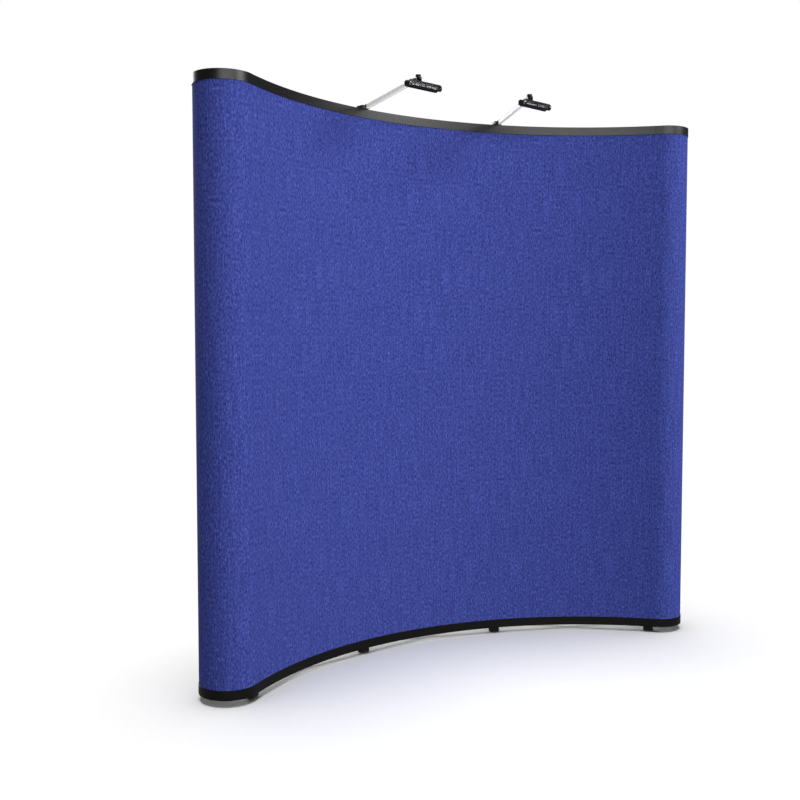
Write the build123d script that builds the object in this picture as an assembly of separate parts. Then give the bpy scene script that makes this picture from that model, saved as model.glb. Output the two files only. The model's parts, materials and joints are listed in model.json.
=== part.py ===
"""Curved pop-up display wall: a folding lattice of hubs and tubes that carries bars, magnetic fabric
panels, two rounded end caps and two arm lights.

Millimetres, +Z up, the concave front towards -Y, +X to the right of someone facing the front.
The origin is on the floor, below the centre of the wall's bounding box.

Everything is laid out from the front face of the fabric, an arc seen from above. A place on it is given by
its bay angle from the middle and by its depth, measured from that face away from the viewer.
Each hub column has a local frame: local X runs along the wall to the right, local Y away from the viewer.
"""

from build123d import *
from math import asin, atan2, cos, degrees, radians, sin, sqrt
import os

# ---------------------------------------------------------------- overall layout
FACE_RADIUS = 1410.8          # radius of the fabric's front face
COLUMNS = [-40.4, -13.6, 12.5, 40.4]  # degrees, where each hub column stands on the arc
END_TURN = 0.89               # degrees of front arc on each end cap, past the last column
WALL_TOP = 2230.0             # top of the top band
BAND_BOTTOM = 25.0            # underside of the bottom band
FIRST_ROW = 90.0              # height of the lowest hubs
LAST_ROW_DROP = 61.0          # from the wall's top down to the highest hubs
HEADER_HEIGHT = 35.8
FOOTER_HEIGHT = 36.6

# ---------------------------------------------------------------- depths behind the fabric's front face
BACK_PIVOT = 186.0            # sets the depth of the frame
BAND_PROUD = 2.0              # how far a band stands in front of the fabric
FABRIC = 2.4
PANEL_STRIP = 1.4             # magnetic strip on the fabric's edges
BAR_STRIP = 1.2               # magnetic strip on a bar's face
SEAT = 0.3                    # between a panel and what it hangs on

# ---------------------------------------------------------------- end caps
CAP_LEAD = 10.8               # straight length between the front arc and the half-round end

# ---------------------------------------------------------------- hubs
HUB_RADIUS = 30.0
HUB_HALF = 11.0               # thickness of one half
HUB_CHAMFER = 1.5
PIVOT_OFFSET = 20.0           # hub centre to pivot pin
TUBE_SPACE = 1.0              # half the gap between two crossing tubes
TONGUE = 6.0                  # thickness of a tube end's tongue
SLOT_CLEARANCE = 0.2          # on each side of a tongue
SLOT_INNER = 13.0             # hub centre to the inner end of a slot
PIN_RADIUS = 2.0
PIN_CLEARANCE = 0.05
PIN_BITE = 4.0                # length of a pin held on each side of its slot
SCREW_PLACE = 15.0
SCREW_RADIUS = 1.5
SCREW_HEAD_RADIUS = 2.75
SCREW_HEAD = 3.0
SCREW_CLEARANCE = 0.1

# ---------------------------------------------------------------- tubes
TUBE_RADIUS = 6.5
TUBE_WALL = 1.2
TUBE_SETBACK = 20.0           # pivot pin to the end of the tube
COLLAR = 4.0
SPIGOT = 25.0
SPIGOT_CLEARANCE = 0.05
TONGUE_WIDTH = 12.0
RIVET_RADIUS = 2.0
RIVET_CLEARANCE = 0.1
RIVET_HEAD_RADIUS = 4.0
RIVET_HEAD = 1.6
SPACER_RADIUS = 4.5

# ---------------------------------------------------------------- lock stalks
STALK_RADIUS = 6.0
STALK_CLEARANCE = 0.05
LOCK_MAGNET = 3.0
LOCK_GAP = 0.3

# ---------------------------------------------------------------- bars
BAR_WIDTH = 44.0
BAR_DEPTH = 12.0
BAR_WALL = 2.0
BAR_LIP = 10.0
BAR_FOOT_GAP = 1.0            # from a foot's top up to the bars' ends
BAR_TOP_DROP = 6.0            # from the wall's top down to the bars' ends
BAR_JOINT_GAP = 0.5
BAR_FIT = 0.2
BAR_STRIP_WIDTH = 40.0
CLIP_HEIGHT = 30.0
JOINER_HEIGHT = 70.0
BUTTON_RADIUS = 9.0
BUTTON_RECESS = 2.0
BUTTON_CLEARANCE = 0.15
BAR_HUB_GAP = 1.7

# ---------------------------------------------------------------- panels
SEAM = 0.6                    # gap between two panels
GROOVE_DEPTH = 15.0           # how deep the fabric's edge sits in a band
GROOVE_CLEARANCE = 0.1
STRIP_WIDTH = 18.0
STRIP_INSET = 1.5
PEG_RADIUS = 2.0
PEG_CLEARANCE = 0.4
PEG_DROP = 12.0               # below the top of the band
PEG_ROOT = 4.0                # behind the bar's face
PEG_SIDE = 10.0               # from the column's middle
PEG_REACH = 4.2

# ---------------------------------------------------------------- feet
FOOT_WIDTH = 42.0
FOOT_DEPTH = 28.0
FOOT_HEIGHT = 32.0
FOOT_CHAMFER = 5.0
NECK_WIDTH = 26.0
NECK_DEPTH = 18.0
SEAT_GAP = 0.1

# ---------------------------------------------------------------- light sockets and pegs
SOCKET_SIZE = 24.0
SOCKET_DROP = 3.5             # from the wall's top down to a socket's top
SOCKET_BORE_RADIUS = 5.0
SOCKET_BORE_DEPTH = 20.0
PEG_FIT = 0.08
LIGHT_PEG_LENGTH = 18.0
PEG_FLANGE_RADIUS = 11.0
PEG_STUB_RADIUS = 4.0
PEG_STUB = 11.0

# ---------------------------------------------------------------- arm lights
CLIP_WIDTH = 32.0
CLIP_DEPTH = 40.0
CLIP_BLOCK_HEIGHT = 18.0
CLIP_LIFT = 1.2               # above the top band
CLIP_NECK = 14.0              # between the block and the arm's start
GLAND_RADIUS = 4.5
GLAND_LENGTH = 8.0
CABLE_BORE = 2.6
ARM_WIDTH = 14.0
ARM_HEIGHT = 19.0
ARM_CORNER = 4.0
ARM_WALL = 1.5
ARM_START = -4.0              # depth at which the arm leaves the clip block
ARM_END = -276.0              # depth of the arm tube's front end
KNOB_DEPTH = -297.0           # depth of the swivel axis at the arm's tip
ARM_START_RISE = 11.5         # from the wall's top up to an arm's middle where it starts
ARM_TIP_RISES = {"left": 67.4, "right": 49.4}
ARM_SWINGS = {"left": 1.4, "right": 3.3}       # degrees that an arm is swung at rest
HEAD_SWIVELS = {"left": -1.4, "right": 23.7}   # degrees that a head is turned on its arm at rest
TIP_THICKNESS = 6.0
TIP_RADIUS = 8.0
BOLT_RADIUS = 3.0
BOLT_CLEARANCE = 0.05
RUN_GAP = 0.3                 # between faces that turn on each other
KNOB_RADIUS = 10.5
KNOB_HEIGHT = 8.5
KNUCKLE_PLATE = 3.0
KNUCKLE_THICKNESS = 6.0
KNUCKLE_BASE = 54.0
KNUCKLE_TOP = 16.0
TILT_DROP = 20.0              # swivel plane down to the tilt axis
TILT_FORWARD = 4.0
TILT_BOLT_RADIUS = 2.5
EAR = 4.0
EAR_RADIUS = 7.0
HEAD_LENGTH = 172.0
HEAD_HEIGHT = 26.0
HEAD_DEPTH = 36.0
HEAD_CORNER = 9.0
HEAD_SETBACK = 5.0            # tilt axis to the rear face of the housing
HEAD_OVERLAP = 0.5            # how far the housing's top stands above the tilt axis
HEAD_WALL = 3.0
WINDOW_LENGTH = 142.0
WINDOW_HEIGHT = 15.0
GLASS = 2.0
REFLECTOR = 0.8
LAMP_RADIUS = 4.0
LAMP_LENGTH = 110.0
HOLDER_LENGTH = 12.0

ROWS = [FIRST_ROW + k * (WALL_TOP - LAST_ROW_DROP - FIRST_ROW) / 3 for k in range(4)]
ARM_OFFSET = TUBE_RADIUS + TUBE_SPACE     # sideways shift of each arm, so that crossing tubes clear
LIGHT_COLUMNS = {"left": COLUMNS[1], "right": COLUMNS[2]}
HEADER_BOTTOM = WALL_TOP - HEADER_HEIGHT
FOOTER_TOP = BAND_BOTTOM + FOOTER_HEIGHT
BAR_FACE = FABRIC + PANEL_STRIP + SEAT + BAR_STRIP
BAND_BACK = BAR_FACE - SEAT
BAR_BACK = BAR_FACE + BAR_DEPTH
BAR_BOTTOM = FOOT_HEIGHT + BAR_FOOT_GAP
BAR_TOP = WALL_TOP - BAR_TOP_DROP
FRONT_PIVOT = BAR_BACK + BAR_HUB_GAP + HUB_HALF
SOCKET_TOP = WALL_TOP - SOCKET_DROP
REAR_BAR_FACE = BACK_PIVOT + HUB_HALF + BAR_HUB_GAP + BAR_DEPTH
PEG_SEAT = SOCKET_TOP + RUN_GAP
CLIP_BOTTOM = WALL_TOP + CLIP_LIFT
PEG_FLANGE = CLIP_BOTTOM - RUN_GAP - PEG_SEAT
ARM_START_HEIGHT = WALL_TOP + ARM_START_RISE
ARM_TIP_HEIGHTS = {side: WALL_TOP + rise for side, rise in ARM_TIP_RISES.items()}
HEAD_FORWARD = HEAD_DEPTH / 2 + HEAD_SETBACK
HEAD_DROP = HEAD_HEIGHT / 2 - HEAD_OVERLAP


# ================================================================ small helpers
def block(x0, x1, y0, y1, z0, z1):
    """A box between two corners."""
    return Pos((x0 + x1) / 2, (y0 + y1) / 2, (z0 + z1) / 2) * Box(x1 - x0, y1 - y0, z1 - z0)


def rod(radius, start, end):
    """A cylinder from one point to another."""
    start, end = Vector(*start), Vector(*end)
    axis = end - start
    return Plane(origin=start, z_dir=axis) * Cylinder(
        radius, axis.length, align=(Align.CENTER, Align.CENTER, Align.MIN))


def column_frame(angle, depth=0.0, height=0.0, turned=0.0):
    """Location at a column: local X along the wall, local Y away from the viewer."""
    reach = FACE_RADIUS + depth
    x, y = reach * sin(radians(angle)), reach * cos(radians(angle)) - FACE_RADIUS
    return Location((x, y, height), (0, 0, turned - angle))


def place(location, point):
    """A local point of a location, in the wall's own coordinates."""
    return tuple((location * Pos(*point)).position)


def copies(shape, locations):
    """The same piece at several places."""
    return [location * shape for location in locations]


def moved(shapes, location):
    """Several pieces at one place."""
    return [location * shape for shape in shapes]


def write(name, shapes, shift):
    """Move a node's solids to the wall's origin and write them."""
    whole = Compound(children=[shift * solid for shape in shapes for solid in shape.solids()])
    export_step(whole, f"parts/{name}.step")


# ================================================================ frame
def hub_halves():
    """Outer and inner half of a hub, axis along local Y, with the outer face towards the viewer."""
    disc = Rot(90, 0, 0) * Cylinder(HUB_RADIUS, 2 * HUB_HALF)
    disc = chamfer(disc.edges().filter_by(GeomType.CIRCLE), HUB_CHAMFER)
    half_slot = TONGUE / 2 + SLOT_CLEARANCE
    reach = HUB_RADIUS + 1
    for turn in range(4):
        slot = block(SLOT_INNER, reach, -reach, reach, ARM_OFFSET - half_slot, ARM_OFFSET + half_slot)
        disc -= Rot(0, -90 * turn, 0) * slot
        disc -= Rot(0, -90 * turn, 0) * rod(PIN_RADIUS + PIN_CLEARANCE, *pin_ends(PIN_CLEARANCE))
    disc -= rod(STALK_RADIUS + STALK_CLEARANCE, (0, -reach, 0), (0, reach, 0))
    disc -= rod(BUTTON_RADIUS + BUTTON_CLEARANCE, (0, -HUB_HALF - 1, 0), (0, -HUB_HALF + BUTTON_RECESS, 0))
    for side in (1, -1):
        x, z = side * SCREW_PLACE, -side * SCREW_PLACE
        disc -= rod(SCREW_RADIUS + SCREW_CLEARANCE, (x, -reach, z), (x, HUB_HALF - SCREW_HEAD, z))
        disc -= rod(SCREW_HEAD_RADIUS + SCREW_CLEARANCE, (x, HUB_HALF - SCREW_HEAD, z), (x, reach, z))
    outer = disc & block(-reach, reach, -reach, 0, -reach, reach)
    inner = disc & block(-reach, reach, 0, reach, -reach, reach)
    return outer, inner


def pin_ends(extra=0.0):
    """Ends of the pin of the arm that leaves a hub along +X, in the hub's frame."""
    half = TONGUE / 2 + SLOT_CLEARANCE + PIN_BITE + extra
    return (PIVOT_OFFSET, 0, ARM_OFFSET - half), (PIVOT_OFFSET, 0, ARM_OFFSET + half)


def hub_screw():
    """Screw that holds the halves of a hub together, head on the inner half."""
    shank = rod(SCREW_RADIUS, (0, -HUB_HALF + BUTTON_RECESS, 0), (0, HUB_HALF - SCREW_HEAD, 0))
    head = rod(SCREW_HEAD_RADIUS, (0, HUB_HALF - SCREW_HEAD, 0), (0, HUB_HALF - 0.3, 0))
    drive = extrude(Plane((0, HUB_HALF, 0), x_dir=(1, 0, 0), z_dir=(0, -1, 0)) * RegularPolygon(1.25, 6), 1.8)
    return shank + head - drive


def hub_places():
    """Every hub: location, column, row and whether it faces the back."""
    places = []
    for column, angle in enumerate(COLUMNS):
        for row, height in enumerate(ROWS):
            places.append((column_frame(angle, FRONT_PIVOT, height), column, row, False))
            places.append((column_frame(angle, BACK_PIVOT, height, 180), column, row, True))
    return places


def arm_turns(column, row, back):
    """Quarter turns of the arms that a hub really carries: 0 right, 1 up, 2 left, 3 down."""
    right = column > 0 if back else column < len(COLUMNS) - 1
    left = column < len(COLUMNS) - 1 if back else column > 0
    return [turn for turn, used in enumerate((right, row < len(ROWS) - 1, left, row > 0)) if used]


def end_fitting():
    """Moulded end of a tube: the pin's hole at the origin, the tube along +X, the tongue's flat along Z."""
    tongue = block(0, TUBE_SETBACK - COLLAR, -TONGUE_WIDTH / 2, TONGUE_WIDTH / 2, -TONGUE / 2, TONGUE / 2)
    nose = Cylinder(TONGUE_WIDTH / 2, TONGUE)
    collar = rod(TUBE_RADIUS, (TUBE_SETBACK - COLLAR, 0, 0), (TUBE_SETBACK, 0, 0))
    spigot = rod(TUBE_RADIUS - TUBE_WALL - SPIGOT_CLEARANCE, (TUBE_SETBACK, 0, 0), (TUBE_SETBACK + SPIGOT, 0, 0))
    return tongue + nose + collar + spigot - Cylinder(PIN_RADIUS + PIN_CLEARANCE, 2 * TONGUE)


def drilled_tube(length, crossing):
    """Tube between two pivots a length apart, along +X, drilled across for its rivet."""
    tube = rod(TUBE_RADIUS, (TUBE_SETBACK, 0, 0), (length - TUBE_SETBACK, 0, 0))
    tube -= rod(TUBE_RADIUS - TUBE_WALL, (0, 0, 0), (length, 0, 0))
    hole = rod(RIVET_RADIUS + RIVET_CLEARANCE, (crossing, 0, -2 * TUBE_RADIUS), (crossing, 0, 2 * TUBE_RADIUS))
    return tube - hole


def crossing_rivet():
    """Rivet through two crossing tubes, along Z, with its spacer in the middle."""
    reach = ARM_OFFSET + TUBE_RADIUS + RIVET_CLEARANCE
    rivet = rod(RIVET_RADIUS, (0, 0, -reach), (0, 0, reach))
    gap = ARM_OFFSET - TUBE_RADIUS - SEAT_GAP
    rivet += rod(SPACER_RADIUS, (0, 0, -gap), (0, 0, gap))
    for side in (1, -1):
        head = rod(RIVET_HEAD_RADIUS, (0, 0, side * reach), (0, 0, side * (reach + RIVET_HEAD)))
        edge = head.edges().filter_by(GeomType.CIRCLE).sort_by(Axis.Z)[-1 if side > 0 else 0]
        rivet += fillet(edge, 0.9 * RIVET_HEAD)
    return rivet


def tube_line(start, end, flat):
    """Location of a tube: X from pivot to pivot, Z along its pins."""
    axis = Vector(*end) - Vector(*start)
    return Location(Plane(origin=start, x_dir=axis, z_dir=flat)), axis.length


def pivot(location, turn):
    """Pivot of a hub's arm, in the wall's coordinates."""
    return place(location * Rot(0, -90 * turn, 0), (PIVOT_OFFSET, 0, ARM_OFFSET))


def lattice():
    """Tubes along the rows and up the columns, their end fittings and rivets."""
    row_tubes, column_tubes, fittings, rivets = [], [], [], []
    fitting, rivet = end_fitting(), crossing_rivet()
    front = {(c, r): loc for loc, c, r, back in hub_places() if not back}
    rear = {(c, r): loc for loc, c, r, back in hub_places() if back}

    def tube(start, end, flat, crossing, group):
        line, length = tube_line(start, end, flat)
        group.append(line * drilled_tube(length, crossing))
        fittings.extend([line * fitting, line * Pos(length, 0, 0) * Rot(0, 0, 180) * fitting])
        return line

    for column, angle in enumerate(COLUMNS[:-1]):
        for row in range(len(ROWS)):
            start = Vector(*pivot(front[column, row], 0))
            end = Vector(*pivot(rear[column + 1, row], 0))
            crossing = share_to_angle(start, end, (angle + COLUMNS[column + 1]) / 2)
            first = tube(start, end, (0, 0, 1), crossing, row_tubes)
            tube(pivot(front[column + 1, row], 2), pivot(rear[column, row], 2), (0, 0, 1), crossing, row_tubes)
            rivets.append(first * Pos(crossing, 0, -ARM_OFFSET) * rivet)
    for column, angle in enumerate(COLUMNS):
        along = (cos(radians(angle)), -sin(radians(angle)), 0)
        for row in range(len(ROWS) - 1):
            start, end = pivot(front[column, row], 1), pivot(rear[column, row + 1], 3)
            crossing = (Vector(*end) - Vector(*start)).length / 2
            first = tube(start, end, along, crossing, column_tubes)
            tube(pivot(front[column, row + 1], 3), pivot(rear[column, row], 1), along, crossing, column_tubes)
            rivets.append(first * Pos(crossing, 0, crossing_side(first, front[column, row])) * rivet)
    return row_tubes, column_tubes, fittings, rivets


def share_to_angle(start, end, angle):
    """Distance along a row tube to the plane of a bay angle."""
    normal = Vector(cos(radians(angle)), -sin(radians(angle)), 0)
    centre = Vector(0, -FACE_RADIUS, start.Z)
    near, far = (start - centre).dot(normal), (end - centre).dot(normal)
    return (end - start).length * near / (near - far)


def crossing_side(line, hub):
    """Shift along a column tube's flat to the middle of its pair."""
    centre = Vector(*place(hub, (0, 0, 0)))
    start = Vector(*place(line, (0, 0, 0)))
    flat = Vector(*place(line, (0, 0, 1))) - start
    return (centre - start).dot(flat)


def lock_stalk():
    """Stalk from a hub to the magnet in the middle of the frame, in the hub's frame."""
    start = -HUB_HALF + BUTTON_RECESS + SEAT_GAP
    middle = (BACK_PIVOT - FRONT_PIVOT) / 2 - LOCK_GAP / 2
    stalk = rod(STALK_RADIUS, (0, start, 0), (0, middle - LOCK_MAGNET, 0))
    stalk += rod(STALK_RADIUS + 3, (0, HUB_HALF + SEAT_GAP, 0), (0, HUB_HALF + 3, 0))
    magnet = rod(STALK_RADIUS - 0.5, (0, middle - LOCK_MAGNET, 0), (0, middle, 0))
    return stalk, magnet


def foot():
    """Foot under a hub, in the hub's frame: block, neck and a tongue pinned in the hub's lower slot."""
    floor = -FIRST_ROW
    base = block(-FOOT_WIDTH / 2, FOOT_WIDTH / 2, -FOOT_DEPTH / 2, FOOT_DEPTH / 2, floor, floor + FOOT_HEIGHT)
    base = chamfer(base.faces().sort_by(Axis.Z)[0].edges(), FOOT_CHAMFER)
    base = fillet(base.edges().filter_by(Axis.Z), 3)
    neck = block(-NECK_WIDTH / 2, NECK_WIDTH / 2, -NECK_DEPTH / 2, NECK_DEPTH / 2, floor + FOOT_HEIGHT, -ARM_OFFSET)
    neck -= rod(HUB_RADIUS + SEAT_GAP, (0, -HUB_RADIUS, 0), (0, HUB_RADIUS, 0))
    return base + neck + hub_tongue(-1, floor + FOOT_HEIGHT)


def hub_tongue(side, end):
    """Tongue for a hub's free lower (-1) or upper (+1) slot, from its pin to a height."""
    x = -side * ARM_OFFSET
    tongue = block(x - TONGUE / 2, x + TONGUE / 2, -TONGUE_WIDTH / 2, TONGUE_WIDTH / 2,
                   *sorted((side * PIVOT_OFFSET, end)))
    pin = (x - TONGUE, 0, side * PIVOT_OFFSET), (x + TONGUE, 0, side * PIVOT_OFFSET)
    nose = rod(TONGUE_WIDTH / 2, (x - TONGUE / 2, 0, side * PIVOT_OFFSET), (x + TONGUE / 2, 0, side * PIVOT_OFFSET))
    return tongue + nose - rod(PIN_RADIUS + PIN_CLEARANCE, *pin)


def light_socket():
    """Socket on a top front hub, in the hub's frame, with the bore for a light's peg."""
    top = SOCKET_TOP - ROWS[-1]
    half = SOCKET_SIZE / 2
    body = block(-half, half, -half, half, HUB_RADIUS - 6, top)
    body = fillet(body.edges().filter_by(Axis.Z), 3)
    body -= rod(HUB_RADIUS + SEAT_GAP, (0, -half - 1, 0), (0, half + 1, 0))
    body += hub_tongue(1, HUB_RADIUS + 2)
    return body - rod(SOCKET_BORE_RADIUS + PEG_FIT, (0, 0, top - SOCKET_BORE_DEPTH), (0, 0, top + 1))


def frame_nodes():
    """Nodes of the folding frame."""
    places = hub_places()
    locations = [entry[0] for entry in places]
    outer, inner = hub_halves()
    pin = rod(PIN_RADIUS, *pin_ends())
    pins, screws = [], []
    for location, column, row, back in places:
        turns = arm_turns(column, row, back)
        turns += [3] if row == 0 else []
        turns += [1] if row == len(ROWS) - 1 and not back else []
        pins += [location * Rot(0, -90 * turn, 0) * pin for turn in turns]
        screws += [location * Pos(side * SCREW_PLACE, 0, -side * SCREW_PLACE) * hub_screw() for side in (1, -1)]
    row_tubes, column_tubes, fittings, rivets = lattice()
    stalk, magnet = lock_stalk()
    fronts = [loc for loc, column, row, back in places if not back]
    end_backs = [loc for loc, column, row, back in places if back and column in (0, len(COLUMNS) - 1)]
    button = rod(BUTTON_RADIUS, (0, -HUB_HALF - BAR_HUB_GAP - BAR_DEPTH + BAR_WALL + 2.5, 0),
                 (0, -HUB_HALF + BUTTON_RECESS - SEAT_GAP, 0))
    return {
        "hub_outer_halves": copies(outer, locations),
        "hub_inner_halves": copies(inner, locations),
        "hub_screws": screws,
        "hub_pins": pins,
        "row_tubes": row_tubes,
        "column_tubes": column_tubes,
        "tube_end_fittings": fittings,
        "crossing_rivets": rivets,
        "lock_stalks": copies(stalk, locations),
        "frame_magnets": copies(magnet, locations) + copies(button, fronts + end_backs),
        "feet": copies(foot(), [loc for loc, column, row, back in places if row == 0]),
        "light_sockets": copies(light_socket(), [loc for loc, _, row, back in places if row == 3 and not back]),
    }


# ================================================================ bars
def bar_frames():
    """Location of each bar, whose local Y is the depth behind the panel that it carries."""
    rears = [column_frame(angle, REAR_BAR_FACE + BAR_FACE, 0, 180) for angle in (COLUMNS[0], COLUMNS[-1])]
    return [column_frame(angle) for angle in COLUMNS] + rears


def channel(z0, z1):
    """Length of bar: a C with its open side towards the hubs."""
    half = BAR_WIDTH / 2
    bar = block(-half, half, BAR_FACE, BAR_BACK, z0, z1)
    bar = fillet(bar.edges().filter_by(Axis.Z), 1)
    bar -= block(-half + BAR_WALL, half - BAR_WALL, BAR_FACE + BAR_WALL, BAR_BACK - BAR_WALL, z0 - 1, z1 + 1)
    return bar - block(-half + BAR_LIP, half - BAR_LIP, BAR_BACK - BAR_WALL - 1, BAR_BACK + 1, z0 - 1, z1 + 1)


def bar_nodes():
    """Channel bars in three lengths with their joiners, hub clips, magnetic strips and pegs."""
    cuts = [BAR_BOTTOM] + [(ROWS[k] + ROWS[k + 1]) / 2 for k in (0, 2)] + [BAR_TOP]
    inside = BAR_WIDTH / 2 - BAR_WALL - BAR_FIT
    near, far = BAR_FACE + BAR_WALL + BAR_FIT, BAR_BACK - BAR_WALL - BAR_FIT
    lengths = [channel(a + BAR_JOINT_GAP / 2, b - BAR_JOINT_GAP / 2) for a, b in zip(cuts, cuts[1:])]
    joiners = [block(-inside, inside, near, far, z - JOINER_HEIGHT / 2, z + JOINER_HEIGHT / 2) for z in cuts[1:-1]]
    clips = []
    for z in ROWS:
        clip = block(-inside, inside, near, far, z - CLIP_HEIGHT / 2, z + CLIP_HEIGHT / 2)
        clips.append(clip - rod(BUTTON_RADIUS + BUTTON_CLEARANCE, (0, BAR_FACE + BAR_WALL + 2.2, z), (0, far + 1, z)))
    strip = block(-BAR_STRIP_WIDTH / 2, BAR_STRIP_WIDTH / 2, BAR_FACE - BAR_STRIP, BAR_FACE,
                  FOOTER_TOP + 5, HEADER_BOTTOM - 5)
    bars, fittings, strips = [], [], []
    for location in bar_frames():
        bars += moved(lengths, location)
        fittings += moved(joiners + clips, location)
        strips.append(location * strip)
    pegs = [rod(PEG_RADIUS, *peg_ends(x)) for x in peg_places()]
    holes = [rod(PEG_RADIUS + PIN_CLEARANCE, *peg_ends(x)) for x in peg_places()]
    bars = [drilled(bar, holes) for bar in bars]
    return {"channel_bars": bars, "bar_fittings": fittings, "bar_strips": strips, "panel_pegs": pegs}


def drilled(bar, holes):
    """A length of bar with the holes that fall in it."""
    box = bar.bounding_box()
    for hole in holes:
        near = hole.bounding_box()
        if near.min.X < box.max.X and near.max.X > box.min.X and near.max.Z < box.max.Z and near.min.Z > box.min.Z:
            bar -= hole
    return bar


def peg_places():
    """Place along X of each locating peg: a front panel has one near each side edge."""
    seams = seam_places()
    return [x + PEG_SIDE for x in seams[:-1]] + [x - PEG_SIDE for x in seams[1:]]


def peg_ends(x):
    """Ends of a peg, along the way the front panels pull off."""
    angle = min(COLUMNS, key=lambda a: abs(FACE_RADIUS * sin(radians(a)) - x))
    frame = column_frame(angle)
    spot, along = Vector(*place(frame, (0, BAR_FACE, 0))), Vector(*place(frame, (1, BAR_FACE, 0)))
    step = along - spot
    y = spot.Y + (x - spot.X) * step.Y / step.X
    height = WALL_TOP - PEG_DROP
    return (x, y - PEG_REACH, height), (x, y + PEG_ROOT, height)


# ================================================================ panels
def seam_places():
    """Place along X of the middle of each seam between panels."""
    return [FACE_RADIUS * sin(radians(angle)) for angle in COLUMNS]


def curved_plate(x0, x1, near, far, z0, z1):
    """Piece of the curved wall between two depths, cut off square to X at both ends."""
    corners = []
    for depth in (near, far):
        radius = FACE_RADIUS + depth
        middle = (x0 + x1) / 2
        corners.append([Vector(x, sqrt(radius * radius - x * x) - FACE_RADIUS, z0) for x in (x0, middle, x1)])
    front, back = corners
    outline = [ThreePointArc(*front), Line(front[2], back[2]), ThreePointArc(*back[::-1]), Line(back[0], front[0])]
    return extrude(make_face(Wire(outline)), z1 - z0, dir=(0, 0, 1))


def cap_rear_depth():
    """Depth of the cap's rear face behind its front face, which makes its end a half circle."""
    return REAR_BAR_FACE + BAR_STRIP + SEAT + PANEL_STRIP + FABRIC


def cap_lap_end():
    """Where the rear lap ends: behind the middle of the last column, in the cap's end frame."""
    return -(FACE_RADIUS + BACK_PIVOT) * radians(END_TURN)


def cap_edge(depth):
    """Right cap's outline at a depth: seam, middle and end of the front arc, then the end and the rear lap."""
    radius = FACE_RADIUS + depth
    end = COLUMNS[-1] + END_TURN
    x = seam_places()[-1] + SEAM / 2
    seam = Vector(x, sqrt(radius * radius - x * x) - FACE_RADIUS, 0)
    middle = Vector(*place(column_frame((degrees(asin(x / radius)) + end) / 2, depth), (0, 0, 0)))
    frame, round_radius = column_frame(end), cap_rear_depth() / 2
    local = [(0, depth), (CAP_LEAD, depth), (CAP_LEAD + round_radius - depth, round_radius),
             (CAP_LEAD, cap_rear_depth() - depth), (cap_lap_end(), cap_rear_depth() - depth)]
    return [seam, middle] + [Vector(*place(frame, (along, back, 0))) for along, back in local]


def cap_plate(near, far, z0, z1):
    """Piece of the right end cap between two depths, all the way round."""
    runs = []
    for depth in (near, far):
        seam, middle, start, lead, tip, rear, lap = cap_edge(depth)
        run = [ThreePointArc(seam, middle, start), Line(start, lead), ThreePointArc(lead, tip, rear), Line(rear, lap)]
        runs.append((run, seam, lap))
    (outer, outer_seam, outer_lap), (inner, inner_seam, inner_lap) = runs
    outline = Wire(outer + [Line(outer_lap, inner_lap)] + inner + [Line(inner_seam, outer_seam)])
    return Pos(0, 0, z0) * extrude(make_face(outline), z1 - z0, dir=(0, 0, 1))


def panel_set(plate, strips, holes):
    """Fabric, header, footer and magnetic strips made with a plate function."""
    groove = GROOVE_CLEARANCE
    fabric = plate(0, FABRIC, FOOTER_TOP - GROOVE_DEPTH, HEADER_BOTTOM + GROOVE_DEPTH)
    slot = plate(-groove, FABRIC + groove, FOOTER_TOP - GROOVE_DEPTH - groove, HEADER_BOTTOM + GROOVE_DEPTH + groove)
    header = plate(-BAND_PROUD, BAND_BACK, HEADER_BOTTOM, WALL_TOP) - slot
    footer = plate(-BAND_PROUD, BAND_BACK, BAND_BOTTOM, FOOTER_TOP) - slot
    for hole in holes:
        header -= hole
    return {"fabric": [fabric], "header": [header], "footer": [footer], "strips": strips}


def front_panel(index):
    """Nodes of one front panel, counted from the left."""
    seams = seam_places()
    x0, x1 = seams[index] + SEAM / 2, seams[index + 1] - SEAM / 2
    z0, z1 = FOOTER_TOP + 5, HEADER_BOTTOM - 5
    places = [(x0 + STRIP_INSET, x0 + STRIP_INSET + STRIP_WIDTH), (x1 - STRIP_INSET - STRIP_WIDTH, x1 - STRIP_INSET)]
    strips = [curved_plate(a, b, FABRIC, FABRIC + PANEL_STRIP, z0, z1) for a, b in places]
    holes = []
    for x in (seams[index] + PEG_SIDE, seams[index + 1] - PEG_SIDE):
        (_, y, height), (_, end, _) = peg_ends(x)
        holes.append(rod(PEG_RADIUS + PEG_CLEARANCE, (x, y - PEG_CLEARANCE, height), (x, end, height)))
    return panel_set(lambda near, far, a, b: curved_plate(x0, x1, near, far, a, b), strips, holes)


def end_cap():
    """Nodes of the right end cap."""
    z0, z1 = FOOTER_TOP + 5, HEADER_BOTTOM - 5
    x0 = seam_places()[-1] + SEAM / 2 + STRIP_INSET
    seam_strip = curved_plate(x0, x0 + STRIP_WIDTH, FABRIC, FABRIC + PANEL_STRIP, z0, z1)
    rear = cap_rear_depth() - FABRIC
    frame = column_frame(COLUMNS[-1] + END_TURN)
    lap = cap_lap_end() + STRIP_INSET
    rear_strip = frame * block(lap, lap + STRIP_WIDTH, rear - PANEL_STRIP, rear, z0, z1)
    return panel_set(cap_plate, [seam_strip, rear_strip], [])


def panel_nodes():
    """Nodes of the five panels, by panel name."""
    panels = {name: front_panel(k) for k, name in enumerate(("left_panel", "middle_panel", "right_panel"))}
    panels["right_cap"] = end_cap()
    panels["left_cap"] = {part: [mirror(shape, Plane.YZ) for shape in shapes]
                          for part, shapes in panels["right_cap"].items()}
    return {f"{panel}_{part}": shapes for panel, parts in panels.items() for part, shapes in parts.items()}


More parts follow.
